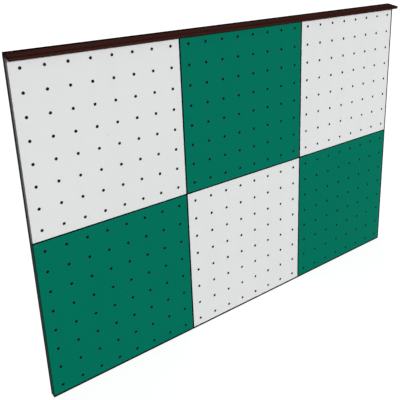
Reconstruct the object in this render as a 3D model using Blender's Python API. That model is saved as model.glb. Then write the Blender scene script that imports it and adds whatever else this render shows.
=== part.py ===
"""A bouldering wall: square climbing panels on a batten frame, under a tilted capping board.

Metres, with +X along the wall to the right, +Y into the building behind it and +Z up. The origin is in the
middle of the middle rail's back face, where the wall lies against the building.
"""

import math

import bmesh
import bpy
from mathutils import Matrix, Vector

# Layout of the panels, seen from the front
COLUMN_NAMES = ("left", "middle", "right")
ROW_NAMES = ("lower", "upper")
RAIL_NAMES = ("bottom", "middle", "top")

# Bolt holes for climbing holds: a grid that runs on over the joints, half a pitch from each panel's edge
HOLES_PER_SIDE = 8
HOLE_PITCH = 0.150
HOLE_DIAMETER = 0.012
HOLE_SIDES = 8

# Climbing panels
PANEL_THICKNESS = 0.018
PANEL_JOINT = 0.003
PANEL_CHAMFER = 0.0015

# Battens behind the panels
BATTEN_THICKNESS = 0.038
EDGE_BATTEN_WIDTH = 0.045
SEAM_BATTEN_WIDTH = 0.095
CENTRE_BATTEN_WIDTH = 0.045

# Capping board: CAP_DROP is how far its underside comes below the grid's top line, at the panels' face
CAP_THICKNESS = 0.023
CAP_WIDTH = 0.112
CAP_TILT = math.radians(11.5)
CAP_DROP = 0.0110
CAP_ARRIS = 0.0015

# Countersunk screws: a panel's stop short of the battens' back, and the cap's reach into the top rail
SCREW_SIDES = 6
SCREW_SHANK_DIAMETER = 0.0050
SCREW_HEAD_DIAMETER = 0.0100
SCREW_HEAD_DEPTH = 0.0028
SCREW_POINT_LENGTH = 0.004
PANEL_SCREW_COVER = 0.0063
CAP_SCREW_REACH = 0.0317
CAP_SCREW_COUNT = 6
CAP_SCREW_END_DISTANCE = 0.050

# Holes in the battens for anchors into the building
ANCHOR_HOLE_DIAMETER = 0.009
ANCHOR_HEAD_DIAMETER = 0.018
ANCHOR_HEAD_DEPTH = 0.006
STUD_ANCHOR_OFFSET = 0.300

# Clearance between pieces that touch, and how far a cutter runs past a face
CONTACT_GAP = 0.0003
CUTTER_EXTRA = 0.004

# Places worked out from the sizes above
MODULE = HOLES_PER_SIDE * HOLE_PITCH
COLUMNS = len(COLUMN_NAMES)
ROWS = len(ROW_NAMES)
GRID_HALF_WIDTH = COLUMNS * MODULE / 2
GRID_HALF_HEIGHT = ROWS * MODULE / 2
WALL_HALF_WIDTH = GRID_HALF_WIDTH - PANEL_JOINT / 2
BATTEN_FRONT = -BATTEN_THICKNESS
PANEL_BACK = BATTEN_FRONT - CONTACT_GAP
PANEL_FRONT = PANEL_BACK - PANEL_THICKNESS
PANEL_SCREW_LENGTH = -PANEL_FRONT - PANEL_SCREW_COVER
CAP_SCREW_LENGTH = CAP_THICKNESS + CONTACT_GAP + CAP_SCREW_REACH

# Colour, roughness and metallic value of each finish
FINISHES = {
    "panel_white": ((0.745, 0.750, 0.750, 1.0), 0.55, 0.0),
    "panel_green": ((0.001, 0.159, 0.100, 1.0), 0.55, 0.0),
    "cap_brown": ((0.038, 0.011, 0.007, 1.0), 0.50, 0.0),
    "batten_black": ((0.008, 0.008, 0.008, 1.0), 0.80, 0.0),
    "screw_white": ((0.745, 0.750, 0.750, 1.0), 0.45, 0.0),
    "screw_green": ((0.001, 0.159, 0.100, 1.0), 0.45, 0.0),
    "screw_brown": ((0.038, 0.011, 0.007, 1.0), 0.45, 0.0),
}


def cap_underside(y):
    """Height of the capping board's lower face at depth y."""
    return GRID_HALF_HEIGHT - CAP_DROP + (y - PANEL_FRONT) * math.tan(CAP_TILT)


def below_cap(y):
    """Height of what carries the capping board, a contact gap below it."""
    return cap_underside(y) - CONTACT_GAP / math.cos(CAP_TILT)


def cell(index, count):
    """Lowest and highest edge of one panel along a row or a column of them."""
    start = (index - count / 2) * MODULE
    return start + PANEL_JOINT / 2, start + MODULE - PANEL_JOINT / 2


def edge_or_seam_span(index, count):
    """Span of the batten behind the panels' edge of this number: at an end it is flush with the panel."""
    line = (index - count / 2) * MODULE
    if index == 0:
        return line + PANEL_JOINT / 2, line + PANEL_JOINT / 2 + EDGE_BATTEN_WIDTH
    if index == count:
        return line - PANEL_JOINT / 2 - EDGE_BATTEN_WIDTH, line - PANEL_JOINT / 2
    return line - SEAM_BATTEN_WIDTH / 2, line + SEAM_BATTEN_WIDTH / 2


def stud_span(index):
    """Span along X of a stud: even numbers stand behind panel edges, odd ones behind panel centres."""
    if index % 2 == 0:
        return edge_or_seam_span(index // 2, COLUMNS)
    line = (index - COLUMNS) * MODULE / 2
    return line - CENTRE_BATTEN_WIDTH / 2, line + CENTRE_BATTEN_WIDTH / 2


def middle(span):
    return (span[0] + span[1]) / 2


def panel_colour(column, row):
    """A checkerboard that starts with green at the lower left."""
    return "green" if (column + row) % 2 == 0 else "white"


def clear_scene():
    for found in list(bpy.data.objects):
        bpy.data.objects.remove(found, do_unlink=True)


def make_finish(name):
    colour, roughness, metallic = FINISHES[name]
    material = bpy.data.materials.new(name)
    material.use_nodes = True
    shader = material.node_tree.nodes["Principled BSDF"]
    shader.inputs["Base Color"].default_value = colour
    shader.inputs["Roughness"].default_value = roughness
    shader.inputs["Metallic"].default_value = metallic
    return material


def add_object(name, bm, place=(0.0, 0.0, 0.0), finish=None, parent=None):
    """Turns a bmesh in world coordinates into an object whose origin is at place."""
    bmesh.ops.translate(bm, verts=bm.verts, vec=-Vector(place))
    bmesh.ops.recalc_face_normals(bm, faces=bm.faces)
    mesh = bpy.data.meshes.new(name)
    bm.to_mesh(mesh)
    bm.free()
    piece = bpy.data.objects.new(name, mesh)
    piece.location = place
    piece.parent = parent
    bpy.context.scene.collection.objects.link(piece)
    if finish:
        mesh.materials.append(finish)
    return piece


def block(x_span, y_span, z_span, top=None):
    """A box as a bmesh. top gives the height of its upper corners from their depth, in place of z_span."""
    bm = bmesh.new()
    bmesh.ops.create_cube(bm, size=1.0)
    for vert in bm.verts:
        vert.co.x = x_span[vert.co.x > 0]
        vert.co.y = y_span[vert.co.y > 0]
        upper = vert.co.z > 0
        vert.co.z = top(vert.co.y) if upper and top else z_span[upper]
    return bm


def turned_mesh(name, profile, sides):
    """A profile of (radius, distance) turned round Z, which starts and ends on the axis."""
    bm = bmesh.new()
    verts = [bm.verts.new((radius, 0.0, distance)) for radius, distance in profile]
    edges = [bm.edges.new(pair) for pair in zip(verts, verts[1:])]
    bmesh.ops.spin(
        bm,
        geom=verts + edges,
        cent=(0.0, 0.0, 0.0),
        axis=(0.0, 0.0, 1.0),
        angle=math.tau,
        steps=sides,
        use_merge=True,
    )
    bmesh.ops.remove_doubles(bm, verts=bm.verts, dist=1e-6)
    bmesh.ops.recalc_face_normals(bm, faces=bm.faces)
    mesh = bpy.data.meshes.new(name)
    bm.to_mesh(mesh)
    bm.free()
    return mesh


def screw_profile(length):
    """A countersunk screw from the middle of its head, which is flush with the face, to its point."""
    shank = SCREW_SHANK_DIAMETER / 2
    return (
        (0.0, 0.0),
        (SCREW_HEAD_DIAMETER / 2, 0.0),
        (shank, SCREW_HEAD_DEPTH),
        (shank, length - SCREW_POINT_LENGTH),
        (0.0, length),
    )


def countersunk_hole(head_radius, head_depth, radius, length):
    """A hole's cutter: it starts above the face and ends flat."""
    return (
        (0.0, -CUTTER_EXTRA),
        (head_radius, -CUTTER_EXTRA),
        (head_radius, 0.0),
        (radius, head_depth),
        (radius, length),
        (0.0, length),
    )


def screw_hole_profile(length):
    """The hole for a screw, a contact gap wider all round and a contact gap deeper than its point."""
    return countersunk_hole(
        SCREW_HEAD_DIAMETER / 2 + CONTACT_GAP,
        SCREW_HEAD_DEPTH + CONTACT_GAP,
        SCREW_SHANK_DIAMETER / 2 + CONTACT_GAP,
        length + CONTACT_GAP,
    )


def panel_screw_places(column, row):
    """The corners, each in the middle of an edge batten's width from the panel's edges, and the centre."""
    x_low, x_high = cell(column, COLUMNS)
    z_low, z_high = cell(row, ROWS)
    inset = EDGE_BATTEN_WIDTH / 2
    corners = [(x, z) for z in (z_low + inset, z_high - inset) for x in (x_low + inset, x_high - inset)]
    centre = (middle((x_low, x_high)), middle((z_low, z_high)))
    return [Vector((x, PANEL_FRONT, z)) for x, z in corners + [centre]]


def cap_screw_places():
    """Where the screws' heads lie on the capping board, above the middle of the top rail's thickness."""
    y_under = -BATTEN_THICKNESS / 2 - CAP_SCREW_REACH / 2 * math.sin(CAP_TILT)
    under = Vector((0.0, y_under, cap_underside(y_under)))
    head = under + CAP_THICKNESS * Vector((0.0, -math.sin(CAP_TILT), math.cos(CAP_TILT)))
    first = CAP_SCREW_END_DISTANCE - WALL_HALF_WIDTH
    step = -2 * first / (CAP_SCREW_COUNT - 1)
    return [head + Vector((first + number * step, 0.0, 0.0)) for number in range(CAP_SCREW_COUNT)]


def rail_anchor_places():
    """In the middle of each bay between two studs, at half the rail's width."""
    places = []
    for rail in range(ROWS + 1):
        z = middle(edge_or_seam_span(rail, ROWS))
        for bay in range(2 * COLUMNS):
            places.append(Vector(((bay + 0.5 - COLUMNS) * MODULE / 2, BATTEN_FRONT, z)))
    return places


def stud_anchor_places():
    """Above and below the middle of each stud."""
    places = []
    for row in range(ROWS):
        z = middle(cell(row, ROWS))
        for number in range(2 * COLUMNS + 1):
            x = middle(stud_span(number))
            places.append(Vector((x, BATTEN_FRONT, z - STUD_ANCHOR_OFFSET)))
            places.append(Vector((x, BATTEN_FRONT, z + STUD_ANCHOR_OFFSET)))
    return places


def into_face(place):
    """Turns a profile's axis from +Z to +Y, into the wall, and starts it at place."""
    return Matrix.Translation(place) @ Matrix.Rotation(-math.pi / 2, 4, "X")


def into_cap(place):
    """Turns a profile's axis to run down at right angles through the tilted capping board."""
    return Matrix.Translation(place) @ Matrix.Rotation(math.pi + CAP_TILT, 4, "X")


def make_cutter(name, profile, matrices, sides):
    """One cutter object that holds a copy of the turned profile at each matrix."""
    shape = turned_mesh(name, profile, sides)
    bm = bmesh.new()
    for matrix in matrices:
        start = len(bm.verts)
        bm.from_mesh(shape)
        bm.verts.ensure_lookup_table()
        bmesh.ops.transform(bm, verts=bm.verts[start:], matrix=matrix)
    cutter = add_object(name, bm)
    cutter.hide_render = True
    cutter.display_type = "WIRE"
    return cutter


def cut(piece, *cutters):
    for cutter in cutters:
        boolean = piece.modifiers.new(cutter.name, "BOOLEAN")
        boolean.operation = "DIFFERENCE"
        boolean.solver = "EXACT"
        boolean.object = cutter


def make_bolt_hole_cutter():
    """Every bolt hole of the wall: a plain round hole through the panel."""
    places = []
    for column in range(COLUMNS * HOLES_PER_SIDE):
        for row in range(ROWS * HOLES_PER_SIDE):
            x = (column + 0.5) * HOLE_PITCH - GRID_HALF_WIDTH
            z = (row + 0.5) * HOLE_PITCH - GRID_HALF_HEIGHT
            places.append(Vector((x, PANEL_FRONT, z)))
    radius = HOLE_DIAMETER / 2
    end = PANEL_THICKNESS + CUTTER_EXTRA
    profile = ((0.0, -CUTTER_EXTRA), (radius, -CUTTER_EXTRA), (radius, end), (0.0, end))
    return make_cutter("bolt_hole_cutter", profile, [into_face(place) for place in places], HOLE_SIDES)


def make_anchor_hole_cutter():
    """Countersunk holes through the battens, so that an anchor's head lies below the panel."""
    profile = countersunk_hole(
        ANCHOR_HEAD_DIAMETER / 2,
        ANCHOR_HEAD_DEPTH,
        ANCHOR_HOLE_DIAMETER / 2,
        BATTEN_THICKNESS + CUTTER_EXTRA,
    )
    places = rail_anchor_places() + stud_anchor_places()
    return make_cutter("anchor_hole_cutter", profile, [into_face(place) for place in places], SCREW_SIDES)


def make_panel(column, row, finish, parent, cutters):
    x_span = cell(column, COLUMNS)
    z_span = cell(row, ROWS)
    is_top = row == ROWS - 1
    bm = block(x_span, (PANEL_FRONT, PANEL_BACK), z_span, below_cap if is_top else None)
    front_edges = [edge for edge in bm.edges if all(vert.co.y == PANEL_FRONT for vert in edge.verts)]
    bmesh.ops.bevel(
        bm,
        geom=front_edges,
        offset=PANEL_CHAMFER,
        offset_type="OFFSET",
        affect="EDGES",
        segments=1,
        profile=0.5,
    )
    name = f"panel_{ROW_NAMES[row]}_{COLUMN_NAMES[column]}"
    panel = add_object(name, bm, (middle(x_span), PANEL_BACK, middle(z_span)), finish, parent)
    cut(panel, *cutters)


def make_screws(length, matrices, finish, parent):
    """Screws of one length and finish, which share a mesh. matrices gives each screw's name its place."""
    mesh = turned_mesh(f"{finish.name}_{round(length * 1000)}", screw_profile(length), SCREW_SIDES)
    mesh.materials.append(finish)
    mesh.shade_smooth()
    mesh.set_sharp_from_angle(angle=math.radians(35.0))
    for name, matrix in matrices.items():
        screw = bpy.data.objects.new(name, mesh)
        screw.location = matrix.translation
        screw.rotation_euler = matrix.to_euler()
        screw.parent = parent
        bpy.context.scene.collection.objects.link(screw)


def make_rail(index, finish, parent, cutters):
    z_span = edge_or_seam_span(index, ROWS)
    is_top = index == ROWS
    x_span = (-WALL_HALF_WIDTH, WALL_HALF_WIDTH)
    bm = block(x_span, (BATTEN_FRONT, 0.0), z_span, below_cap if is_top else None)
    rail = add_object(f"rail_{RAIL_NAMES[index]}", bm, (0.0, 0.0, middle(z_span)), finish, parent)
    cut(rail, *cutters)


def make_stud(number, row, finish, parent, cutters):
    x_span = stud_span(number)
    z_low = edge_or_seam_span(row, ROWS)[1] + CONTACT_GAP
    z_high = edge_or_seam_span(row + 1, ROWS)[0] - CONTACT_GAP
    bm = block(x_span, (BATTEN_FRONT, 0.0), (z_low, z_high))
    place = (middle(x_span), 0.0, middle((z_low, z_high)))
    stud = add_object(f"stud_{ROW_NAMES[row]}_{number + 1}", bm, place, finish, parent)
    cut(stud, *cutters)


def make_cap(finish, parent, cutters):
    """A plain board, tilted down to the front, whose lower back edge lies in the plane of the wall's back."""
    bm = block(
        (-WALL_HALF_WIDTH, WALL_HALF_WIDTH),
        (-CAP_WIDTH, 0.0),
        (0.0, CAP_THICKNESS),
    )
    long_edges = [edge for edge in bm.edges if edge.calc_length() > WALL_HALF_WIDTH]
    bmesh.ops.bevel(
        bm,
        geom=long_edges,
        offset=CAP_ARRIS,
        offset_type="OFFSET",
        affect="EDGES",
        segments=2,
        profile=0.5,
    )
    cap = add_object("cap_board", bm, finish=finish, parent=parent)
    cap.location = (0.0, 0.0, cap_underside(0.0))
    cap.rotation_euler = (CAP_TILT, 0.0, 0.0)
    cut(cap, *cutters)


def build():
    clear_scene()
    finishes = {name: make_finish(name) for name in FINISHES}
    wall = bpy.data.objects.new("bouldering_wall", None)
    bpy.context.scene.collection.objects.link(wall)
    cells = [(column, row) for row in range(ROWS) for column in range(COLUMNS)]

    panel_screws = {"green": {}, "white": {}}
    for column, row in cells:
        for number, place in enumerate(panel_screw_places(column, row), start=1):
            name = f"screw_{ROW_NAMES[row]}_{COLUMN_NAMES[column]}_{number}"
            panel_screws[panel_colour(column, row)][name] = into_face(place)
    cap_screws = {}
    for number, place in enumerate(cap_screw_places(), start=1):
        cap_screws[f"cap_screw_{number}"] = into_cap(place)
    for colour, matrices in panel_screws.items():
        make_screws(PANEL_SCREW_LENGTH, matrices, finishes[f"screw_{colour}"], wall)
    make_screws(CAP_SCREW_LENGTH, cap_screws, finishes["screw_brown"], wall)

    bolt_holes = make_bolt_hole_cutter()
    anchor_holes = make_anchor_hole_cutter()
    panel_screw_holes = make_cutter(
        "panel_screw_hole_cutter",
        screw_hole_profile(PANEL_SCREW_LENGTH),
        [matrix for matrices in panel_screws.values() for matrix in matrices.values()],
        SCREW_SIDES,
    )
    cap_screw_holes = make_cutter(
        "cap_screw_hole_cutter",
        screw_hole_profile(CAP_SCREW_LENGTH),
        cap_screws.values(),
        SCREW_SIDES,
    )

    for index in range(ROWS + 1):
        cutters = (anchor_holes, panel_screw_holes)
        if index == ROWS:
            cutters += (cap_screw_holes,)
        make_rail(index, finishes["batten_black"], wall, cutters)
    for row in range(ROWS):
        for number in range(2 * COLUMNS + 1):
            cutters = (anchor_holes, panel_screw_holes) if number % 2 else (anchor_holes,)
            make_stud(number, row, finishes["batten_black"], wall, cutters)
    for column, row in cells:
        finish = finishes[f"panel_{panel_colour(column, row)}"]
        make_panel(column, row, finish, wall, (bolt_holes, panel_screw_holes))
    make_cap(finishes["cap_brown"], wall, (cap_screw_holes,))


build()
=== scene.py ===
import math
import bmesh
import bpy
from mathutils import Matrix, Vector


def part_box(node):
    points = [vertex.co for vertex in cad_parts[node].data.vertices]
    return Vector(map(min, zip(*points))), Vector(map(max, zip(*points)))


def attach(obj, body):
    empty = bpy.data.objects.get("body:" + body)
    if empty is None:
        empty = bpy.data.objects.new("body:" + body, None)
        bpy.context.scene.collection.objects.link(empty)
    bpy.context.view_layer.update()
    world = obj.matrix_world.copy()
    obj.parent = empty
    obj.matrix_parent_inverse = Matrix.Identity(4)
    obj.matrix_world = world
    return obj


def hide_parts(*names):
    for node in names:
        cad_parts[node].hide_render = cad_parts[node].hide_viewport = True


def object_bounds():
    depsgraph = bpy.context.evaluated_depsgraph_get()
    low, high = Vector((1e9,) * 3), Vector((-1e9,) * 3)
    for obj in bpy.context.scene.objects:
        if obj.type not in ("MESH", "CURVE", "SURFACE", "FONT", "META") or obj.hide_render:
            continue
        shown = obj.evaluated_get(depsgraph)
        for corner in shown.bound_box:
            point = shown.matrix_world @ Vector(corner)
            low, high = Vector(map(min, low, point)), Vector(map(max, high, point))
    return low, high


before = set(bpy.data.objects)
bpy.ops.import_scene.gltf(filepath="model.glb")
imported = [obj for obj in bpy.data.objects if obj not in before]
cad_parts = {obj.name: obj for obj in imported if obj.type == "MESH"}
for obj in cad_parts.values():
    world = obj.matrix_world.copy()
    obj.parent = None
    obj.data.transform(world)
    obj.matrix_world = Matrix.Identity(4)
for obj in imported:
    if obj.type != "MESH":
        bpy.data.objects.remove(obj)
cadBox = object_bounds()
print("frame loaded:", len(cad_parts), "CAD nodes")

wall = {
    "columns": ("left", "middle", "right"),
    "rows": ("lower", "upper"),
    "rails": ("bottom", "middle", "top"),
    "holesPerSide": 8,
    "pitch": 0.150,  # between bolt holes, also over a joint
    "module": 1.200,  # between joints
    "screwsPerPanel": 5,
    "capScrewCount": 6,
    "capTilt": math.radians(11.5),
    "fitGap": 0.0003,
}
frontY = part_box("panel_lower_left")[0].y
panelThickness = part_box("panel_lower_left")[1].y - frontY
jointHalf = (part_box("panel_lower_middle")[0].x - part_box("panel_lower_left")[1].x) / 2
capOutward = Vector((0.0, -math.sin(wall["capTilt"]), math.cos(wall["capTilt"])))
wallOutward = Vector((0.0, -1.0, 0.0))


# Shader nodes: a node's inputs are given by name or number, as a value or as another node's output
def putNode(tree, kind, inputs=None, **settings):
    node = tree.nodes.new(kind)
    for name, value in settings.items():
        setattr(node, name, value)
    for name, value in (inputs or {}).items():
        if isinstance(value, bpy.types.NodeSocket):
            tree.links.new(value, node.inputs[name])
        else:
            node.inputs[name].default_value = value
    return node


def putMath(tree, operation, first, second=0.0, third=0.0):
    values = {0: first, 1: second, 2: third}
    return putNode(tree, "ShaderNodeMath", values, operation=operation).outputs[0]


def putNoise(tree, vector, scale, detail, roughness=0.5, distortion=0.0):
    values = {
        "Vector": vector,
        "Scale": scale,
        "Detail": detail,
        "Roughness": roughness,
        "Distortion": distortion,
    }
    return putNode(tree, "ShaderNodeTexNoise", values).outputs["Fac"]


def putStretch(tree, vector, scale, turn=(0.0, 0.0, 0.0)):
    values = {"Vector": vector, "Rotation": turn, "Scale": scale}
    return putNode(tree, "ShaderNodeMapping", values).outputs[0]


def putRange(tree, value, low, high, newLow=0.0, newHigh=1.0):
    values = {"Value": value, "From Min": low, "From Max": high, "To Min": newLow, "To Max": newHigh}
    return putNode(tree, "ShaderNodeMapRange", values, interpolation_type="SMOOTHSTEP").outputs[0]


def putBlend(tree, factor, first, second, blendType="MIX"):
    values = {0: factor, 6: first, 7: second}  # the factor, and A and B of the colour mix
    return putNode(tree, "ShaderNodeMix", values, data_type="RGBA", blend_type=blendType).outputs[2]


socketKinds = {"Vector": "NodeSocketVector", "Color": "NodeSocketColor"}


# A socket that socketKinds doesn't name is a number
def newGroup(name, inputs, outputs):
    group = bpy.data.node_groups.new(name, "ShaderNodeTree")
    for way, labels in (("INPUT", inputs), ("OUTPUT", outputs)):
        for label in labels:
            kind = socketKinds.get(label, "NodeSocketFloat")
            group.interface.new_socket(label, in_out=way, socket_type=kind)
    source = group.nodes.new("NodeGroupInput").outputs
    sink = group.nodes.new("NodeGroupOutput").inputs
    return group, source, sink


def useGroup(tree, group, inputs):
    return putNode(tree, "ShaderNodeGroup", inputs, node_tree=group).outputs


# Distances over the wall's face: from the upright joints and the level one, from either end, from the right
# end and the foot, and from the nearest bolt hole's middle. Depth runs from the face into the wall
def makeGridGroup():
    distances = ("Upright", "Level", "Ends", "Right", "Foot", "Hole", "Depth")
    group, source, sink = newGroup("wallGrid", ("Vector",), distances)
    halfPitch = wall["pitch"] / 2
    place = putNode(group, "ShaderNodeSeparateXYZ", {0: source["Vector"]}).outputs
    fromMiddle = putMath(group, "ABSOLUTE", place["X"])
    pastJoint = putMath(group, "SUBTRACT", fromMiddle, wall["module"] / 2)
    steps = [putMath(group, "PINGPONG", place[axis], halfPitch) for axis in ("X", "Z")]
    holeX, holeZ = (putMath(group, "SUBTRACT", halfPitch, step) for step in steps)
    offset = putNode(group, "ShaderNodeCombineXYZ", {"X": holeX, "Z": holeZ}).outputs[0]
    length = putNode(group, "ShaderNodeVectorMath", {0: offset}, operation="LENGTH").outputs["Value"]
    group.links.new(putMath(group, "ABSOLUTE", pastJoint), sink["Upright"])
    group.links.new(putMath(group, "ABSOLUTE", place["Z"]), sink["Level"])
    group.links.new(putMath(group, "SUBTRACT", cadBox[1].x, fromMiddle), sink["Ends"])
    group.links.new(putMath(group, "SUBTRACT", cadBox[1].x, place["X"]), sink["Right"])
    group.links.new(putMath(group, "SUBTRACT", place["Z"], cadBox[0].z), sink["Foot"])
    group.links.new(length, sink["Hole"])
    group.links.new(putMath(group, "SUBTRACT", place["Y"], frontY), sink["Depth"])
    return group


# Paint put on with a short-nap roller: a fine stipple, faint lanes and a slow change of tone
rolling = {
    "cloudScale": 1.7,
    "laneStretch": (7.0, 7.0, 0.5),
    "laneShare": 0.4,
    "mottle": 0.08,  # how far the tone strays
    "gritScale": 620.0,
    "stippleScale": 210.0,
    "stippleShare": 0.5,
    "roughness": 0.48,
    "roughnessSpread": 0.16,
}


def makePaintGroup():
    outputs = ("Color", "Roughness", "Height")
    group, source, sink = newGroup("rolledPaint", ("Vector", "Color"), outputs)
    cloud = putNoise(group, source["Vector"], rolling["cloudScale"], 4.0, 0.6)
    lanes = putNoise(group, putStretch(group, source["Vector"], rolling["laneStretch"]), 1.0, 3.0)
    grit = putNoise(group, source["Vector"], rolling["gritScale"], 3.0, 0.7)
    stipple = putNoise(group, source["Vector"], rolling["stippleScale"], 2.0)
    clouded = putMath(group, "MULTIPLY", cloud, 1.0 - rolling["laneShare"])
    tone = putMath(group, "ADD", clouded, putMath(group, "MULTIPLY", lanes, rolling["laneShare"]))
    shift = putMath(group, "SUBTRACT", tone, 0.5)
    level = putMath(group, "MULTIPLY_ADD", shift, rolling["mottle"], 1.0)
    grey = putNode(group, "ShaderNodeCombineXYZ", {"X": level, "Y": level, "Z": level}).outputs[0]
    group.links.new(putBlend(group, 1.0, source["Color"], grey, "MULTIPLY"), sink["Color"])
    shine = putMath(group, "MULTIPLY_ADD", tone, rolling["roughnessSpread"], rolling["roughness"])
    group.links.new(shine, sink["Roughness"])
    fine = putMath(group, "MULTIPLY", grit, 1.0 - rolling["stippleShare"])
    group.links.new(putMath(group, "MULTIPLY_ADD", stipple, rolling["stippleShare"], fine), sink["Height"])
    return group


# Long grain that runs along the vector's Z: slow figure, fine fibre, and a height for both
growth = {
    "figureStretch": (1.0, 1.0, 0.09),
    "figureDistortion": 7.0,
    "fibreStretch": (1.0, 1.0, 0.015),
    "fibreScale": 520.0,
    "fibreShare": 0.65,  # of the height
}


def makeGrainGroup():
    outputs = ("Figure", "Fibre", "Height")
    group, source, sink = newGroup("timberGrain", ("Vector", "Figure Scale"), outputs)
    flowing = putStretch(group, source["Vector"], growth["figureStretch"])
    figure = putNode(
        group,
        "ShaderNodeTexWave",
        {
            "Vector": flowing,
            "Scale": source["Figure Scale"],
            "Distortion": growth["figureDistortion"],
            "Detail": 3.0,
            "Detail Scale": 1.1,
            "Detail Roughness": 0.6,
        },
        bands_direction="X",
    ).outputs["Fac"]
    along = putStretch(group, source["Vector"], growth["fibreStretch"])
    fibre = putNoise(group, along, growth["fibreScale"], 4.0, 0.65)
    group.links.new(figure, sink["Figure"])
    group.links.new(fibre, sink["Fibre"])
    coarse = putMath(group, "MULTIPLY", figure, 1.0 - growth["fibreShare"])
    group.links.new(putMath(group, "MULTIPLY_ADD", fibre, growth["fibreShare"], coarse), sink["Height"])
    return group


# Masks along a piece's edges: Edge is whole, and Mask is broken up, as where corners rub through
rubbing = {
    "faceAlike": 0.995,  # the true and the rounded normal's likeness, on a face and at an edge
    "edgeAlike": 0.86,
    "patchScale": 38.0,
    "patchLimit": 0.82,
    "amountGain": 0.4,
    "patchEdge": 0.10,
}


def makeWearGroup():
    group, source, sink = newGroup("edgeWear", ("Vector", "Reach", "Amount"), ("Edge", "Mask"))
    rounded = putNode(group, "ShaderNodeBevel", {"Radius": source["Reach"]}, samples=6).outputs[0]
    true = putNode(group, "ShaderNodeNewGeometry").outputs["True Normal"]
    normals = putNode(group, "ShaderNodeVectorMath", {0: rounded, 1: true}, operation="DOT_PRODUCT")
    edge = putRange(group, normals.outputs["Value"], rubbing["faceAlike"], rubbing["edgeAlike"])
    patches = putNoise(group, source["Vector"], rubbing["patchScale"], 5.0, 0.65)
    lowered = putMath(group, "MULTIPLY", source["Amount"], rubbing["amountGain"])
    limit = putMath(group, "SUBTRACT", rubbing["patchLimit"], lowered)
    rubbed = putRange(group, putMath(group, "SUBTRACT", patches, limit), 0.0, rubbing["patchEdge"])
    group.links.new(edge, sink["Edge"])
    group.links.new(putMath(group, "MULTIPLY", edge, rubbed), sink["Mask"])
    return group


# Rubber scuffs and handling marks: a few faint smears, longer than wide
smears = {
    "stretch": (1.0, 1.0, 0.42),
    "turn": (0.0, 0.35, 0.0),
    "scale": 13.0,
    "placeScale": 1.9,  # of the slow noise that gathers them
    "placeShare": 0.3,
    "limit": 0.65,
    "edge": 0.07,
}


def makeScuffGroup():
    group, source, sink = newGroup("scuffs", ("Vector",), ("Mask",))
    drawn = putStretch(group, source["Vector"], smears["stretch"], smears["turn"])
    smear = putNoise(group, drawn, smears["scale"], 6.0, 0.62, 0.8)
    where = putNoise(group, source["Vector"], smears["placeScale"], 2.0)
    marks = putMath(group, "MULTIPLY", smear, 1.0 - smears["placeShare"])
    level = putMath(group, "ADD", marks, putMath(group, "MULTIPLY", where, smears["placeShare"]))
    above = putMath(group, "SUBTRACT", level, smears["limit"])
    group.links.new(putRange(group, above, 0.0, smears["edge"]), sink["Mask"])
    return group


groups = {
    "grid": makeGridGroup(),
    "paint": makePaintGroup(),
    "grain": makeGrainGroup(),
    "wear": makeWearGroup(),
    "scuffs": makeScuffGroup(),
}


def startMaterial(name, specular, metallic=0.0):
    material = bpy.data.materials.new(name)
    material.use_nodes = True
    tree = material.node_tree
    shader = tree.nodes["Principled BSDF"]
    shader.inputs["Metallic"].default_value = metallic
    shader.inputs["Specular IOR Level"].default_value = specular
    place = tree.nodes.new("ShaderNodeTexCoord").outputs["Object"]
    return material, tree, shader, place


def joinSurface(tree, shader, colour, roughness):
    tree.links.new(colour, shader.inputs["Base Color"])
    tree.links.new(roughness, shader.inputs["Roughness"])


def joinBump(tree, shader, height, strength, distance):
    bump = putNode(tree, "ShaderNodeBump", {"Height": height, "Strength": strength, "Distance": distance})
    tree.links.new(bump.outputs[0], shader.inputs["Normal"])


def putWear(tree, place, look):
    reach = {"Vector": place, "Reach": look["wearReach"], "Amount": look["wearAmount"]}
    return useGroup(tree, groups["wear"], reach)


paint = {
    "white": (0.745, 0.750, 0.750, 1.0),
    "green": (0.0006, 0.160, 0.100, 1.0),
    "brown": (0.038, 0.011, 0.007, 1.0),
    # The joints' black sealer, which also serves as painted shade in the holes, and a paler tone of that
    # painted shade
    "sealerAndHoleShade": (0.0035, 0.0035, 0.0035, 1.0),
    "holeShadePale": (0.008, 0.008, 0.0075, 1.0),
    "rawPly": (0.30, 0.19, 0.10, 1.0),
    "specular": 0.015,
    "stipple": 0.0020,  # how deep the roller's marks are
    "stippleStrength": 0.8,
    # How far the sealer reaches on the face, from the joints' middle lines, the right end and the foot
    "sealerBand": {"Upright": 0.0065, "Level": 0.0055, "Right": 0.0165, "Foot": 0.0165},
    "bandDepth": 0.0030,  # at the wall's end and foot the sealer stops at the back of the rounded edge
    "paintedEndShade": (0.22, 0.22, 0.22, 1.0),  # painted shade: the wall's end faces darkened, as if turned from the light
    "paintedLapShade": (0.20, 0.20, 0.20, 1.0),  # and darker painted shade where it laps on to the face beside them
    "endLap": 0.0040,
    "mouthBand": 0.0103,  # a black ring round a bolt hole's mouth, from its middle, that widens the hole's painted shade on to the face
    "bandEdge": 0.0004,
    "waver": 0.0012,  # how far a band's edge strays
    "waverScale": 90.0,
    "rubReach": 0.016,  # how far holds have rubbed the paint round a hole
    "rubScale": 160.0,
    "rubShare": 0.35,
    "scuffShare": 0.06,
    "scuffTone": {"white": (0.25, 0.25, 0.25, 1.0), "green": (0.02, 0.10, 0.07, 1.0)},
}


# 1 within the band's width, and 0 past its soft edge
def putBand(tree, distance, width):
    return putRange(tree, distance, width + paint["bandEdge"], width)


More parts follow.
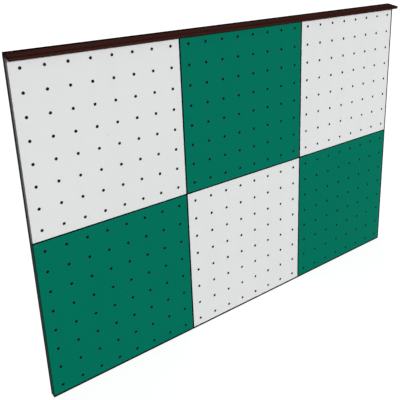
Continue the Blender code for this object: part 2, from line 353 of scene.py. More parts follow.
def makePanelPaint(colour):
    name = "panelPaint" + colour.capitalize()
    material, tree, shader, place = startMaterial(name, paint["specular"])
    grid = useGroup(tree, groups["grid"], {"Vector": place})
    rolled = useGroup(tree, groups["paint"], {"Vector": place, "Color": paint[colour]})
    scuffs = useGroup(tree, groups["scuffs"], {"Vector": place})
    scuffed = putMath(tree, "MULTIPLY", scuffs["Mask"], paint["scuffShare"])
    marked = putBlend(tree, scuffed, rolled["Color"], paint["scuffTone"][colour])
    rub = putRange(tree, grid["Hole"], paint["rubReach"], paint["mouthBand"])
    rubNoise = putMath(tree, "MULTIPLY", putNoise(tree, place, paint["rubScale"], 3.0), paint["rubShare"])
    marked = putBlend(tree, putMath(tree, "MULTIPLY", rub, rubNoise), marked, paint["scuffTone"][colour])
    sway = putMath(tree, "SUBTRACT", putNoise(tree, place, paint["waverScale"], 2.0), 0.5)
    waver = putMath(tree, "MULTIPLY", sway, paint["waver"])
    onFront = putBand(tree, grid["Depth"], paint["bandDepth"])
    # Painted shade at the wall's ends: the end faces, and a strip of the face beside them, are darkened
    ends = putBand(tree, putMath(tree, "ADD", grid["Ends"], waver), paint["endLap"])
    shade = putBlend(tree, onFront, paint["paintedEndShade"], paint["paintedLapShade"])
    marked = putBlend(tree, ends, marked, putBlend(tree, 1.0, marked, shade, "MULTIPLY"))
    # Painted shade round each bolt hole: a black ring about its mouth
    hole = putMath(tree, "ADD", grid["Hole"], putMath(tree, "MULTIPLY", waver, 0.5))
    sealed = putBand(tree, hole, paint["mouthBand"])
    for side, width in paint["sealerBand"].items():
        lap = putBand(tree, putMath(tree, "ADD", grid[side], waver), width)
        if side in ("Right", "Foot"):
            lap = putMath(tree, "MULTIPLY", lap, onFront)
        sealed = putMath(tree, "MAXIMUM", sealed, lap)
    joinSurface(tree, shader, putBlend(tree, sealed, marked, paint["sealerAndHoleShade"]), rolled["Roughness"])
    joinBump(tree, shader, rolled["Height"], paint["stippleStrength"], paint["stipple"])
    return material


# Painted shade in the holes: their eased mouths and walls get the joints' black sealer, rubbed through to
# the raw plywood in places
holeShadeCoat = {
    "wearReach": 0.004,
    "wearAmount": 0.35,
    "wearShare": 0.5,
    "toneScale": 55.0,
    "roughness": (0.5, 0.7),
    "grainScale": 300.0,
    "grainDepth": 0.0004,
    "grainStrength": 0.2,
}


def makeHoleShade():
    material, tree, shader, place = startMaterial("paintedHoleShade", paint["specular"])
    tone = putRange(tree, putNoise(tree, place, holeShadeCoat["toneScale"], 4.0), 0.3, 0.7)
    base = putBlend(tree, tone, paint["sealerAndHoleShade"], paint["holeShadePale"])
    worn = putMath(tree, "MULTIPLY", putWear(tree, place, holeShadeCoat)["Mask"], holeShadeCoat["wearShare"])
    roughness = putRange(tree, tone, 0.0, 1.0, *holeShadeCoat["roughness"])
    joinSurface(tree, shader, putBlend(tree, worn, base, paint["rawPly"]), roughness)
    grain = putNoise(tree, place, holeShadeCoat["grainScale"], 3.0)
    joinBump(tree, shader, grain, holeShadeCoat["grainStrength"], holeShadeCoat["grainDepth"])
    return material


# Rotary-cut birch: each sheet has its own flames, as contour lines round slow swellings, and short fibres
veneer = {
    "light": (0.57, 0.41, 0.245, 1.0),
    "dark": (0.44, 0.295, 0.160, 1.0),
    "fibre": (0.33, 0.20, 0.100, 1.0),
    "specular": 0.2,
    "flameScale": 2.6,
    "flameStretch": 0.16,  # a flame's width over its length
    "flameRings": 11.0,
    "flameShare": 0.75,
    "cloudScale": 1.3,
    "cloudShare": 0.4,
    "sheetShift": (2.7, 3.9, 1.7),  # where the next sheet reads the flames
    "fleckLength": 2.6,  # how much shorter than in sawn timber the fibres run
    "streakShare": 0.5,
    "roughness": (0.58, 0.74),
    "grainDepth": 0.0004,
    "grainStrength": 0.25,
}


def makeVeneer():
    material, tree, shader, place = startMaterial("birchVeneer", veneer["specular"])
    spot = putNode(tree, "ShaderNodeSeparateXYZ", {0: place}).outputs
    column = putMath(tree, "SNAP", putMath(tree, "ADD", spot["X"], wall["module"] / 2), wall["module"])
    row = putMath(tree, "SNAP", spot["Z"], wall["module"])
    step = putNode(tree, "ShaderNodeCombineXYZ", {"X": row, "Y": column, "Z": row}).outputs[0]
    reading = {0: step, 1: veneer["sheetShift"], 2: place}
    sheet = putNode(tree, "ShaderNodeVectorMath", reading, operation="MULTIPLY_ADD").outputs[0]
    along = putStretch(tree, sheet, (1.0, 1.0, veneer["flameStretch"]))
    swelling = putNoise(tree, along, veneer["flameScale"], 2.5, 0.45, 0.4)
    rings = putMath(tree, "PINGPONG", putMath(tree, "MULTIPLY", swelling, veneer["flameRings"]), 1.0)
    flames = putMath(tree, "MULTIPLY", putRange(tree, rings, 0.35, 1.0), veneer["flameShare"])
    cloud = putNoise(tree, place, veneer["cloudScale"], 3.0)
    cloud = putMath(tree, "MULTIPLY", cloud, veneer["cloudShare"])
    base = putBlend(tree, putMath(tree, "ADD", flames, cloud), veneer["light"], veneer["dark"])
    peeled = putStretch(tree, place, (1.0, 1.0, veneer["fleckLength"]))
    grain = useGroup(tree, groups["grain"], {"Vector": peeled})
    streak = putRange(tree, grain["Fibre"], 0.52, 0.75)
    streak = putMath(tree, "MULTIPLY", streak, veneer["streakShare"])
    roughness = putRange(tree, grain["Fibre"], 0.2, 0.8, *veneer["roughness"])
    joinSurface(tree, shader, putBlend(tree, streak, base, veneer["fibre"]), roughness)
    joinBump(tree, shader, grain["Fibre"], veneer["grainStrength"], veneer["grainDepth"])
    return material


stained = {
    "cap": {
        "base": (0.0485, 0.0160, 0.0124, 1.0),
        "deep": (0.0355, 0.0113, 0.0090, 1.0),
        "arris": (0.0030, 0.0012, 0.0010, 1.0),  # the stain soaks in deeper along the cut edges
        "arrisShare": 0.9,
        "wearReach": 0.012,
        "wearAmount": 0.45,
        "backBand": 0.031,  # the sealed strip along its back, where it meets the building
        "worn": (0.070, 0.030, 0.020, 1.0),
        "wornShare": 0.25,
        "figureScale": 14.0,
        "specular": 0.0,
    },
    "batten": {
        "base": (0.0060, 0.0058, 0.0056, 1.0),
        "deep": (0.0030, 0.0030, 0.0030, 1.0),
        "arris": (0.0020, 0.0020, 0.0020, 1.0),
        "arrisShare": 0.3,
        "wearReach": 0.004,
        "wearAmount": 0.45,
        "worn": (0.075, 0.055, 0.038, 1.0),
        "wornShare": 0.35,
        "figureScale": 20.0,
        "specular": 0.03,
    },
    "alongX": (0.0, math.radians(90.0), 0.0),
    "alongZ": (0.0, 0.0, 0.0),
    "figureShare": 0.6,
    "waver": 0.002,  # how far the back strip's edge strays
    "waverScale": 60.0,
    "roughness": (0.5, 0.68),
    "grainDepth": 0.0005,
    "grainStrength": 0.35,
}


def makeStainedTimber(name, look, turn):
    material, tree, shader, place = startMaterial(name, look["specular"])
    turned = putStretch(tree, place, (1.0, 1.0, 1.0), turn)
    grain = useGroup(tree, groups["grain"], {"Vector": turned, "Figure Scale": look["figureScale"]})
    wear = putWear(tree, place, look)
    figure = putMath(tree, "MULTIPLY", grain["Figure"], stained["figureShare"])
    depth = putMath(tree, "MULTIPLY_ADD", grain["Fibre"], 1.0 - stained["figureShare"], figure)
    base = putBlend(tree, putRange(tree, depth, 0.2, 0.8), look["base"], look["deep"])
    soaked = putMath(tree, "MULTIPLY", wear["Edge"], look["arrisShare"])
    if "backBand" in look:
        toBack = putNode(tree, "ShaderNodeSeparateXYZ", {0: place}).outputs["Y"]
        sway = putMath(tree, "MULTIPLY", putNoise(tree, place, stained["waverScale"], 2.0), stained["waver"])
        toBack = putMath(tree, "ADD", toBack, sway)
        strip = putRange(tree, toBack, -look["backBand"], paint["bandEdge"] - look["backBand"])
        soaked = putMath(tree, "MAXIMUM", soaked, strip)
    rubbed = putMath(tree, "MULTIPLY", wear["Mask"], look["wornShare"])
    edged = putBlend(tree, soaked, base, look["arris"])
    roughness = putRange(tree, grain["Fibre"], 0.2, 0.8, *stained["roughness"])
    joinSurface(tree, shader, putBlend(tree, rubbed, edged, look["worn"]), roughness)
    joinBump(tree, shader, grain["Height"], stained["grainStrength"], stained["grainDepth"])
    return material


metal = {
    "black": {"bright": (0.024, 0.024, 0.026, 1.0), "dull": (0.14, 0.135, 0.13, 1.0), "roughness": 0.42},
    "yellow": {"bright": (0.42, 0.33, 0.17, 1.0), "dull": (0.30, 0.25, 0.15, 1.0), "roughness": 0.35},
    "specular": 0.5,
    "wearReach": 0.0008,
    "wearAmount": 0.7,
    "cloudScale": 140.0,
    "cloudShare": 0.35,
    "smoother": 0.07,  # how far the roughness varies to either side
    "rougher": 0.1,
}


def makePlating(name, look):
    material, tree, shader, place = startMaterial(name, metal["specular"], 1.0)
    cloud = putRange(tree, putNoise(tree, place, metal["cloudScale"], 3.0), 0.35, 0.65)
    clouded = putMath(tree, "MULTIPLY", cloud, metal["cloudShare"])
    mixed = putMath(tree, "MAXIMUM", clouded, putWear(tree, place, metal)["Mask"])
    smooth, rough = look["roughness"] - metal["smoother"], look["roughness"] + metal["rougher"]
    roughness = putRange(tree, cloud, 0.0, 1.0, smooth, rough)
    joinSurface(tree, shader, putBlend(tree, mixed, look["bright"], look["dull"]), roughness)
    return material


paintedHead = {
    "wearReach": 0.0006,
    "wearAmount": 0.4,
    "chipShare": 0.3,
    "stipple": 0.0002,
    "stippleStrength": 0.2,
}


def makePaintedHead(colour):
    name = "paintedHead" + colour.capitalize()
    material, tree, shader, place = startMaterial(name, paint["specular"])
    rolled = useGroup(tree, groups["paint"], {"Vector": place, "Color": paint[colour]})
    wear = putWear(tree, place, paintedHead)
    chipped = putMath(tree, "MULTIPLY", wear["Mask"], paintedHead["chipShare"])
    chips = putBlend(tree, chipped, rolled["Color"], metal["yellow"]["dull"])
    joinSurface(tree, shader, chips, rolled["Roughness"])
    joinBump(tree, shader, rolled["Height"], paintedHead["stippleStrength"], paintedHead["stipple"])
    return material


finishes = {
    "white": makePanelPaint("white"),
    "green": makePanelPaint("green"),
    # the holes' painted shade
    "sealerAndHoleShade": makeHoleShade(),
    "veneer": makeVeneer(),
    "cap": makeStainedTimber("stainedCap", stained["cap"], stained["alongX"]),
    "rail": makeStainedTimber("stainedRail", stained["batten"], stained["alongX"]),
    "stud": makeStainedTimber("stainedStud", stained["batten"], stained["alongZ"]),
    "tnut": makePlating("blackZinc", metal["black"]),
    "shank": makePlating("yellowZinc", metal["yellow"]),
    "headWhite": makePaintedHead("white"),
    "headGreen": makePaintedHead("green"),
    "headBrown": makePaintedHead("brown"),
}
print("materials made:", len(finishes))


# Mesh tools that the pieces share. A board is made face on: x across, y into the wall, z up
tolerance = {
    "merge": 0.000002,  # points closer than this are one
    "inPlane": 0.000001,
    "inCell": 0.0001,
    "facing": 0.999,  # of a face's normal along a direction
    "flat": 0.9999,
    "sharp": math.radians(60.0),
}


# Lines on both sides of each value, to cut out the cells that the holes are made in
def linesAround(values, margin):
    return sorted({round(value + side * margin, 4) for value in values for side in (-1, 1)})


def splitAt(bm, geom, axis, lines):
    for line in lines:
        bmesh.ops.bisect_plane(bm, geom=geom(), dist=tolerance["merge"], plane_co=axis * line, plane_no=axis)


def makeBoard(low, high, xLines, zLines):
    bm = bmesh.new()
    bmesh.ops.create_cube(bm, size=1.0)
    bmesh.ops.scale(bm, verts=bm.verts, vec=high - low)
    bmesh.ops.translate(bm, verts=bm.verts, vec=(low + high) / 2)
    for axis, lines in ((Vector((1.0, 0.0, 0.0)), xLines), (Vector((0.0, 0.0, 1.0)), zLines)):
        splitAt(bm, lambda: bm.verts[:] + bm.edges[:] + bm.faces[:], axis, lines)
    bm.normal_update()
    return bm


def facesToward(bm, direction):
    return [face for face in bm.faces if face.normal.dot(direction) > tolerance["facing"]]


def cellAt(faces, point):
    reach = Vector((tolerance["inCell"],) * 3)
    for face in faces:
        if face.is_valid:
            corners = [vert.co for vert in face.verts]
            low = Vector(map(min, zip(*corners))) - reach
            high = Vector(map(max, zip(*corners))) + reach
            if all(low[axis] < point[axis] < high[axis] for axis in range(3)):
                return face
    raise ValueError(f"no face holds the point {tuple(point)}")


def trimUnderCap(bm, top, xLines=()):
    cut = bmesh.ops.bisect_plane(
        bm,
        geom=bm.verts[:] + bm.edges[:] + bm.faces[:],
        dist=tolerance["merge"],
        plane_co=top,
        plane_no=capOutward,
        clear_outer=True,
    )
    rim = [item for item in cut["geom_cut"] if isinstance(item, bmesh.types.BMEdge)]
    bmesh.ops.contextual_create(bm, geom=rim)
    bm.normal_update()

    def slope():
        faces = facesToward(bm, capOutward)
        parts = {part for face in faces for part in list(face.verts) + list(face.edges)}
        return list(parts) + faces

    splitAt(bm, slope, Vector((1.0, 0.0, 0.0)), xLines)
    bm.normal_update()


def easeEdges(bm, edges, look):
    bmesh.ops.bevel(
        bm,
        geom=edges,
        offset=look["edgeRadius"],
        offset_type="OFFSET",
        affect="EDGES",
        segments=look["edgeSegments"],
        profile=0.5,
    )
    bm.normal_update()


def sharpEdges(bm):
    return [edge for edge in bm.edges if edge.calc_face_angle(0.0) > tolerance["sharp"]]


def openCell(bm, cell, sides):
    border = list(cell.edges)
    bmesh.ops.delete(bm, geom=[cell], context="FACES_ONLY")
    split = bmesh.ops.bisect_edges(bm, edges=border, cuts=sides // 4 - 1)["geom_split"]
    edges = {item for item in border + split if isinstance(item, bmesh.types.BMEdge)}
    if len(edges) != sides:
        raise ValueError(f"a cell's border has {len(edges)} edges for a hole of {sides} sides")
    return list(edges)


# Extrudes a loop of edges on to an even ring about the place's Y axis, and gives back the ring's edges
def drawRing(bm, edges, place, radius, depth, material):
    made = bmesh.ops.extrude_edge_only(bm, edges=edges)["geom"]
    verts = [item for item in made if isinstance(item, bmesh.types.BMVert)]
    away = place.inverted()

    def angleOf(vert):
        spot = away @ vert.co
        return math.atan2(spot.z, spot.x)

    verts.sort(key=angleOf)
    step = math.tau / len(verts)
    shift = round(sum(angleOf(vert) / step - number for number, vert in enumerate(verts)) / len(verts))
    for number, vert in enumerate(verts):
        angle = (number + shift) * step
        vert.co = place @ Vector((radius * math.cos(angle), depth, radius * math.sin(angle)))
    for item in made:
        if isinstance(item, bmesh.types.BMFace):
            item.material_index = material
    new = set(verts)
    return [item for item in made if isinstance(item, bmesh.types.BMEdge) and set(item.verts) <= new]


# rings are (radius, depth) from the mouth inwards. Without an exit face the hole ends flat. materials are
# for the face round the mouth, the hole's wall and the face round the exit
def boreHole(bm, place, rings, sides, entry, leave=None, materials=(0, 0, 0)):
    edges = drawRing(bm, openCell(bm, entry, sides), place, *rings[0], materials[0])
    for radius, depth in rings[1:]:
        edges = drawRing(bm, edges, place, radius, depth, materials[1])
    if leave:
        edges += drawRing(bm, openCell(bm, leave, sides), place, *rings[-1], materials[2])
        meeting = list({vert for edge in edges for vert in edge.verts})
        bmesh.ops.remove_doubles(bm, verts=meeting, dist=tolerance["merge"])
    else:
        for face in bmesh.ops.contextual_create(bm, geom=edges)["faces"]:
            face.material_index = materials[1]


# Faces along the wall's axes or under the cap's slope stay flat, and those between are shaded round
def roundedShading(bm):
    bmesh.ops.recalc_face_normals(bm, faces=bm.faces)
    bm.normal_update()
    axes = [Vector(row) for row in Matrix.Identity(3)] + [capOutward]
    for face in bm.faces:
        face.smooth = max(abs(face.normal.dot(axis)) for axis in axes) < tolerance["flat"]


def makeMesh(bm, name, materials):
    mesh = bpy.data.meshes.new(name)
    bm.to_mesh(mesh)
    bm.free()
    for material in materials:
        mesh.materials.append(finishes[material])
    return mesh


def placePiece(mesh, name, slot, *nodes):
    piece = bpy.data.objects.new(name, mesh)
    bpy.context.scene.collection.objects.link(piece)
    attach(piece, "root")
    if nodes:
        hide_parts(*nodes)


def turnProfile(points, sides):
    bm = bmesh.new()
    verts = [bm.verts.new((radius, depth, 0.0)) for radius, depth in points]
    edges = [bm.edges.new(pair) for pair in zip(verts, verts[1:])]
    bmesh.ops.spin(
        bm,
        geom=verts + edges,
        cent=(0.0, 0.0, 0.0),
        axis=(0.0, 1.0, 0.0),
        angle=math.tau,
        steps=sides,
        use_merge=True,
    )
    bmesh.ops.remove_doubles(bm, verts=bm.verts, dist=tolerance["merge"])
    return bm


# Where each screw's head sits, and how long it is, from its CAD node
def screwAxis(node, outward):
    points = [vert.co.copy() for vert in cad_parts[node].data.vertices]
    tip = min(points, key=lambda point: point.dot(outward))
    length = max(point.dot(outward) for point in points) - tip.dot(outward)
    return tip + outward * length, length


def panelScrewNodes(row, column):
    return [f"screw_{row}_{column}_{number + 1}" for number in range(wall["screwsPerPanel"])]


panelScrews = {
    node: screwAxis(node, wallOutward)
    for row in wall["rows"]
    for column in wall["columns"]
    for node in panelScrewNodes(row, column)
}
capNodes = [f"cap_screw_{number + 1}" for number in range(wall["capScrewCount"])]
capScrews = {node: screwAxis(node, capOutward) for node in capNodes}

# Turns a depth along +Y, so that it runs down through the capping board
intoCap = Matrix.Rotation(wall["capTilt"] - math.pi / 2, 4, "X")

screw = {
    "sides": 24,
    "holeSides": 12,
    "headRadius": 0.0050,
    "headRim": 0.0003,
    "headDepth": 0.0028,
    "shankRadius": 0.0025,
    "coreRadius": 0.0017,
    "tipLength": 0.0040,
    "threadPitch": 0.0025,
    "threadShare": 0.68,  # of the length
    "crestShare": 0.45,  # where in the pitch the crest lies
    "driveRadius": 0.0019,
    "driveLobes": 6,
    "driveWave": 0.17,  # how deep the lobes are
    "driveDepth": 0.0019,
    "driveTaper": 0.86,
    "sharpAngle": math.radians(32.0),
    "cellMargin": 0.0120,
}
bolts = {
    "sides": 24,
    "radius": 0.0060,
    "easing": 0.0020,
    "easingSteps": 3,
    "cellMargin": 0.0400,
}
panel = {"edgeRadius": 0.0030, "edgeSegments": 3}
# A panel's materials: its paint, the holes' painted shade, and the veneer on its back
paintSlot, holeShadeSlot, veneerSlot = range(3)
headSlot, shankSlot = range(2)


def screwHoleRings(end):
    clear = screw["shankRadius"] + wall["fitGap"]
    return [
        (screw["headRadius"] + wall["fitGap"], 0.0),
        (screw["headRadius"] + wall["fitGap"], screw["headRim"]),
        (clear, screw["headDepth"] + wall["fitGap"]),
        (clear, end),
    ]


def boltHoleRings(end):
    rings = []
    for step in range(bolts["easingSteps"] + 1):
        angle = step / bolts["easingSteps"] * math.pi / 2
        radius = bolts["radius"] + bolts["easing"] * (1 - math.sin(angle))
        rings.append((radius, bolts["easing"] * (1 - math.cos(angle))))
    return rings + [(bolts["radius"], end)]


def boltPlaces(low):
    first = wall["pitch"] / 2 - jointHalf
    steps = [first + number * wall["pitch"] for number in range(wall["holesPerSide"])]
    return [low.x + step for step in steps], [low.z + step for step in steps]


# Climbing panels: one mesh for each row, moved along for its columns
def makePanelMesh(row):
    node = f"panel_{row}_{wall['columns'][0]}"
    low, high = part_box(node)
    top = Vector((0.0, high.y, high.z))
    full = Vector((high.x, high.y, low.z + wall["module"] - 2 * jointHalf))
    xs, zs = boltPlaces(low)
    bm = makeBoard(low, full, linesAround(xs, bolts["cellMargin"]), linesAround(zs, bolts["cellMargin"]))
    if row == wall["rows"][-1]:
        trimUnderCap(bm, top)
    onFace = {vert for vert in bm.verts if abs(vert.co.y - low.y) < tolerance["inPlane"]}
    easeEdges(bm, [edge for edge in sharpEdges(bm) if onFace.issuperset(edge.verts)], panel)
    for face in facesToward(bm, -wallOutward):
        face.material_index = veneerSlot
    fronts, backs = facesToward(bm, wallOutward), facesToward(bm, -wallOutward)
    boltRings = boltHoleRings(panelThickness)
    centres = [(Vector((x, low.y, z)), boltRings, bolts["sides"]) for x in xs for z in zs]
    for screwNode in panelScrewNodes(row, wall["columns"][0]):
        head = panelScrews[screwNode][0]
        centres.append((head, screwHoleRings(panelThickness), screw["holeSides"]))
    # The holes' eased mouths and walls take the painted shade
    slots = (paintSlot, holeShadeSlot, veneerSlot)
    for centre, rings, sides in centres:
        entry = cellAt(fronts, centre)
        leave = cellAt(backs, centre - wallOutward * panelThickness)
        boreHole(bm, Matrix.Translation(centre), rings, sides, entry, leave, slots)
    roundedShading(bm)
    return makeMesh(bm, f"panel_{row}", [])


def panelColour(column, row):
    return "green" if (column + row) % 2 == 0 else "white"


def makePanels():
    for row, rowName in enumerate(wall["rows"]):
        shape = makePanelMesh(rowName)
        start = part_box(f"panel_{rowName}_{wall['columns'][0]}")[0].x
        for column, columnName in enumerate(wall["columns"]):
            node = f"panel_{rowName}_{columnName}"
            bm = bmesh.new()
            bm.from_mesh(shape)
            bmesh.ops.translate(bm, verts=bm.verts, vec=(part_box(node)[0].x - start, 0.0, 0.0))
            colour = panelColour(column, row)
            mesh = makeMesh(bm, f"climbing_{node}", [colour, "sealerAndHoleShade", "veneer"])
            placePiece(mesh, f"climbing_{node}", f"panel_{colour}", node)
        bpy.data.meshes.remove(shape)
    print("panels made")


# T-nuts, one behind each bolt hole: the barrel lies in the hole and the flange bears on the panel's back
tnut = {
    "sides": 10,
    "threadRadius": 0.0042,
    "threadEnd": 0.0186,  # a dust cap closes the thread behind this
    "barrelRadius": 0.0057,
    "flangeRadius": 0.0125,
    "flangeThickness": 0.0016,
    "mouthDepth": 0.0075,
    "seatGap": 0.0001,
    "sharpAngle": math.radians(40.0),
}


def makeTnuts():
    seat = panelThickness + tnut["seatGap"]
    back = seat + tnut["flangeThickness"]
    profile = [
        (0.0, tnut["threadEnd"]),
        (tnut["threadRadius"], tnut["threadEnd"]),
        (tnut["threadRadius"], tnut["mouthDepth"]),
        (tnut["barrelRadius"], tnut["mouthDepth"]),
        (tnut["barrelRadius"], seat),
        (tnut["flangeRadius"], seat),
        (tnut["flangeRadius"], back),
        (0.0, back),
    ]
    bm = turnProfile(profile, tnut["sides"])
    bmesh.ops.recalc_face_normals(bm, faces=bm.faces)
    shape = makeMesh(bm, "tnut", [])
    for row in wall["rows"]:
        for column in wall["columns"]:
            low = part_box(f"panel_{row}_{column}")[0]
            xs, zs = boltPlaces(low)
            bm = bmesh.new()
            for x in xs:
                for z in zs:
                    start = len(bm.verts)
                    bm.from_mesh(shape)
                    bm.verts.ensure_lookup_table()
                    bmesh.ops.translate(bm, verts=bm.verts[start:], vec=(x, low.y, z))
            mesh = makeMesh(bm, f"tnuts_{row}_{column}", ["tnut"])
            mesh.shade_smooth()
            mesh.set_sharp_from_angle(angle=tnut["sharpAngle"])
            placePiece(mesh, f"tnuts_{row}_{column}", "tnut_steel")
    bpy.data.meshes.remove(shape)
    print("T-nuts made")


# Countersunk screws with a six-lobed drive and a wood thread
def screwProfile(length):
    points = [
        (screw["headRadius"], 0.0),
        (screw["headRadius"], screw["headRim"]),
        (screw["shankRadius"], screw["headDepth"]),
    ]
    start = length * (1 - screw["threadShare"])
    points.append((screw["shankRadius"], start - screw["threadPitch"] / 2))
    turns = int((length - screw["tipLength"] - start) / screw["threadPitch"])
    for turn in range(turns):
        root = start + turn * screw["threadPitch"]
        points.append((screw["coreRadius"], root))
        points.append((screw["shankRadius"], root + screw["crestShare"] * screw["threadPitch"]))
    return points + [(screw["coreRadius"], length - screw["tipLength"]), (0.0, length)]


def makeScrewMesh(name, length, head):
    bm = turnProfile(screwProfile(length), screw["sides"])
    for face in bm.faces:
        face.material_index = shankSlot
    rim = [edge for edge in bm.edges if edge.is_boundary]
    drive = drawRing(bm, rim, Matrix.Identity(4), screw["driveRadius"], 0.0, headSlot)
    for vert in {vert for edge in drive for vert in edge.verts}:
        angle = math.atan2(vert.co.z, vert.co.x)
        vert.co *= 1 + screw["driveWave"] * math.cos(screw["driveLobes"] * angle)
    down = bmesh.ops.extrude_edge_only(bm, edges=drive)["geom"]
    verts = [item for item in down if isinstance(item, bmesh.types.BMVert)]
    bmesh.ops.scale(bm, verts=verts, vec=(screw["driveTaper"], 1.0, screw["driveTaper"]))
    bmesh.ops.translate(bm, verts=verts, vec=(0.0, screw["driveDepth"], 0.0))
    for face in [item for item in down if isinstance(item, bmesh.types.BMFace)]:
        face.material_index = shankSlot
    floor = [edge for edge in bm.edges if edge.is_boundary]
    for face in bmesh.ops.contextual_create(bm, geom=floor)["faces"]:
        face.material_index = shankSlot
    bmesh.ops.recalc_face_normals(bm, faces=bm.faces)
    return makeMesh(bm, name, [head, "shank"])


def makeScrews():
    jobs = []
    for row, rowName in enumerate(wall["rows"]):
        for column, columnName in enumerate(wall["columns"]):
            colour = panelColour(column, row)
            for node in panelScrewNodes(rowName, columnName):
                jobs.append((node, colour, Matrix.Identity(4), *panelScrews[node]))
    jobs += [(node, "brown", intoCap, *axis) for node, axis in capScrews.items()]
    for node, colour, turn, head, length in jobs:
        mesh = makeScrewMesh(f"wood_{node}", length, f"head{colour.capitalize()}")
        mesh.transform(Matrix.Translation(head) @ turn)
        mesh.shade_smooth()
        mesh.set_sharp_from_angle(angle=screw["sharpAngle"])
        placePiece(mesh, f"wood_{node}", f"screw_{colour}", node)
    print("screws made:", len(jobs))


# Battens: holes for anchors into the building, countersunk under the panels, and pilot holes for the screws
batten = {
    "edgeRadius": 0.0018,
    "edgeSegments": 2,
    "anchorRadius": 0.0045,
    "anchorHeadRadius": 0.0090,
    "anchorHeadDepth": 0.0060,
    "anchorSides": 16,
    "studAnchorOffset": 0.300,
    "pilotClearance": 0.0003,
    "trimExtra": 0.004,  # that the top rail starts with above its CAD box, and loses under the cap's slope
}


def anchorPoints(node, low, high):
    if node.startswith("rail"):
        half = wall["module"] / 2
        # The top rail is cut off under the cap, and its anchors lie as high in it as in the bottom rail
        z = low.z + (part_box("rail_bottom")[1].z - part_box("rail_bottom")[0].z) / 2
        if node == "rail_middle":
            z = (low.z + high.z) / 2
        count = 2 * len(wall["columns"])
        return [Vector(((bay + 0.5 - count / 2) * half, low.y, z)) for bay in range(count)]
    x = (low.x + high.x) / 2
    row = wall["rows"].index(node.split("_")[1])
    z = (row - 0.5) * wall["module"]
    return [Vector((x, low.y, z + side * batten["studAnchorOffset"])) for side in (-1, 1)]


def anchorRings(end):
    return [
        (batten["anchorHeadRadius"], 0.0),
        (batten["anchorRadius"], batten["anchorHeadDepth"]),
        (batten["anchorRadius"], end),
    ]


def makeBatten(node, material):
    low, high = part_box(node)
    thickness = high.y - low.y
    anchors = anchorPoints(node, low, high)
    jobs = [(point, anchorRings(thickness), batten["anchorSides"], True) for point in anchors]
    clear = screw["shankRadius"] + wall["fitGap"]
    for head, length in panelScrews.values():
        if low.x < head.x < high.x and low.z < head.z < high.z:
            point = Vector((head.x, low.y, head.z))
            end = head.y + length - low.y + batten["pilotClearance"]
            jobs.append((point, [(clear, 0.0), (clear, end)], screw["holeSides"], False))
    xLines = linesAround([job[0].x for job in jobs], screw["cellMargin"])
    zLines = linesAround([job[0].z for job in jobs], screw["cellMargin"])
    isTop = node == "rail_top"
    if isTop:
        full = Vector((high.x, high.y, high.z + batten["trimExtra"]))
        capLines = linesAround([head.x for head, _ in capScrews.values()], screw["cellMargin"])
        xLines = sorted(xLines + capLines)
        bm = makeBoard(low, full, xLines, zLines)
        trimUnderCap(bm, Vector((0.0, high.y, high.z)), xLines)
    else:
        bm = makeBoard(low, high, xLines, zLines)
    easeEdges(bm, sharpEdges(bm), batten)
    fronts, backs = facesToward(bm, wallOutward), facesToward(bm, -wallOutward)
    for point, rings, sides, through in jobs:
        leave = cellAt(backs, point - wallOutward * thickness) if through else None
        boreHole(bm, Matrix.Translation(point), rings, sides, cellAt(fronts, point), leave)
    if isTop:
        boreForCapScrews(bm, clear)
    roundedShading(bm)
    mesh = makeMesh(bm, f"timber_{node}", [material])
    placePiece(mesh, f"timber_{node}", "batten_black", node)


def boreForCapScrews(bm, clear):
    slopes = facesToward(bm, capOutward)
    under = capBoard["thickness"] + wall["fitGap"]
    for head, length in capScrews.values():
        point = head - capOutward * under
        rings = [(clear, 0.0), (clear, length - under + batten["pilotClearance"])]
        boreHole(bm, Matrix.Translation(point) @ intoCap, rings, screw["holeSides"], cellAt(slopes, point))


def makeBattens():
    for rail in wall["rails"]:
        makeBatten(f"rail_{rail}", "rail")
    studCount = 2 * len(wall["columns"]) + 1  # at the ends and joints, and behind each panel's middle
    for row in wall["rows"]:
        for number in range(studCount):
            makeBatten(f"stud_{row}_{number + 1}", "stud")
    print("battens made")


# Capping board: made flat, then tilted down to the front
capBoard = {
    "width": 0.112,
    "thickness": 0.023,
    "edgeRadius": 0.0020,
    "edgeSegments": 3,
    "cellMargin": 0.0100,  # the screws lie near the board's back edge
}


def makeCappingBoard():
    low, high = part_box("cap_board")
    half = Vector(((high.x - low.x) / 2, capBoard["thickness"] / 2, capBoard["width"] / 2))
    place = Matrix.Translation((low + high) / 2) @ intoCap
    heads = [place.inverted() @ head for head, _ in capScrews.values()]
    xLines = linesAround([head.x for head in heads], screw["cellMargin"])
    zLines = linesAround([heads[0].z], capBoard["cellMargin"])
    bm = makeBoard(-half, half, xLines, zLines)
    easeEdges(bm, sharpEdges(bm), capBoard)
    fronts, backs = facesToward(bm, wallOutward), facesToward(bm, -wallOutward)
    for head in heads:
        point = Vector((head.x, -half.y, head.z))
        leave = cellAt(backs, point - wallOutward * capBoard["thickness"])
        rings = screwHoleRings(capBoard["thickness"])
        boreHole(bm, Matrix.Translation(point), rings, screw["holeSides"], cellAt(fronts, point), leave)
    roundedShading(bm)
    bmesh.ops.transform(bm, matrix=place, verts=bm.verts)
    placePiece(makeMesh(bm, "capping_board", ["cap"]), "capping_board", "cap_brown", "cap_board")
    print("capping board made")


makePanels()
makeTnuts()
makeScrews()
makeBattens()
makeCappingBoard()


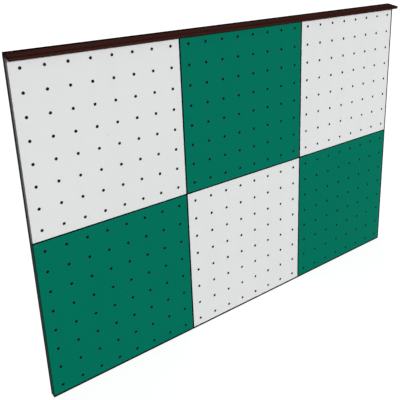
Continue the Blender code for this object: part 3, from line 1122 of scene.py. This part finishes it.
# Stage: a pale floor under the wall, a white surround and plain soft light
stage = {
    "floorHalf": 60.0,
    "floorGap": 0.002,  # the wall hangs on its building just clear of the floor
    "floorSeen": (0.40, 0.40, 0.40, 1.0),
    "floorGlow": 0.84,  # the white that the camera sees under the shadows
    "floorBounce": (0.28, 0.28, 0.28, 1.0),
    "floorRoughness": 0.9,
    "ambient": 0.22,
    "keyStrength": 2.14,
    # Each light comes from so many degrees to the right of the wall's front, and above the horizon
    "keyFrom": (15.0, 13.2),
    "keyWidth": math.radians(2.5),
    "fillStrength": 1.24,
    "fillFrom": (-65.0, 4.0),
    "fillWidth": math.radians(6.0),
    "backStrength": 2.0,
    "backFrom": (152.0, 30.0),
    "backWidth": math.radians(30.0),
}


# 1 for what the camera sees, straight or by reflection, and 0 for the light that bounces about
def putSeen(tree):
    path = tree.nodes.new("ShaderNodeLightPath").outputs
    seen = putMath(tree, "MAXIMUM", path["Is Camera Ray"], path["Is Glossy Ray"])
    return putMath(tree, "MAXIMUM", seen, path["Is Transmission Ray"])


def makeFloor(level):
    bm = bmesh.new()
    bmesh.ops.create_grid(bm, x_segments=1, y_segments=1, size=stage["floorHalf"])
    bmesh.ops.translate(bm, verts=bm.verts, vec=(0.0, 0.0, level))
    mesh = bpy.data.meshes.new("floor")
    bm.to_mesh(mesh)
    bm.free()
    material, tree, shader, _ = startMaterial("paleFloor", 0.0)
    seen = putSeen(tree)
    tone = putBlend(tree, seen, stage["floorBounce"], stage["floorSeen"])
    tree.links.new(tone, shader.inputs["Base Color"])
    shader.inputs["Roughness"].default_value = stage["floorRoughness"]
    glow = putNode(tree, "ShaderNodeCombineXYZ", {"X": seen, "Y": seen, "Z": seen}).outputs[0]
    tree.links.new(glow, shader.inputs["Emission Color"])
    shader.inputs["Emission Strength"].default_value = stage["floorGlow"]
    mesh.materials.append(material)
    floor = bpy.data.objects.new("floor", mesh)
    bpy.context.scene.collection.objects.link(floor)


def makeWorld():
    world = bpy.data.worlds.new("studio")
    bpy.context.scene.world = world
    world.use_nodes = True
    tree = world.node_tree
    values = {"Value": putSeen(tree), "To Min": stage["ambient"], "To Max": 1.0}
    strength = putNode(tree, "ShaderNodeMapRange", values).outputs[0]
    background = tree.nodes["Background"]
    background.inputs["Color"].default_value = (1.0, 1.0, 1.0, 1.0)
    tree.links.new(strength, background.inputs["Strength"])


def makeSun(name, strength, comingFrom, width):
    light = bpy.data.lights.new(name, "SUN")
    light.energy = strength
    light.angle = width
    sun = bpy.data.objects.new(name, light)
    azimuth, elevation = (math.radians(angle) for angle in comingFrom)
    sun.rotation_euler = (math.pi / 2 - elevation, 0.0, azimuth)
    bpy.context.scene.collection.objects.link(sun)


# The camera stands left of the wall and above its top, and looks down along it
camera = {
    "place": (-2.83344, -3.38546, 1.73724),
    "azimuth": math.radians(37.0718),
    "elevation": math.radians(-18.0694),
    "roll": math.radians(-1.8768),
    "lens": 51.8217,
    "sensor": 36.0,
    "shift": (-0.03750, -0.15286),
}


def makeCamera():
    data = bpy.data.cameras.new("camera")
    data.sensor_width = camera["sensor"]
    data.lens = camera["lens"]
    data.shift_x, data.shift_y = camera["shift"]
    eye = bpy.data.objects.new("camera", data)
    turn = Matrix.Rotation(-camera["azimuth"], 4, "Z")
    turn = turn @ Matrix.Rotation(math.pi / 2 + camera["elevation"], 4, "X")
    turn = turn @ Matrix.Rotation(camera["roll"], 4, "Z")
    eye.matrix_world = Matrix.Translation(camera["place"]) @ turn
    bpy.context.scene.collection.objects.link(eye)
    bpy.context.scene.camera = eye


makeFloor(cadBox[0].z - stage["floorGap"])
makeWorld()
makeSun("keyLight", stage["keyStrength"], stage["keyFrom"], stage["keyWidth"])
makeSun("fillLight", stage["fillStrength"], stage["fillFrom"], stage["fillWidth"])
makeSun("backLight", stage["backStrength"], stage["backFrom"], stage["backWidth"])
makeCamera()
bpy.context.scene.view_settings.view_transform = "Standard"
print("stage, lights and camera made")
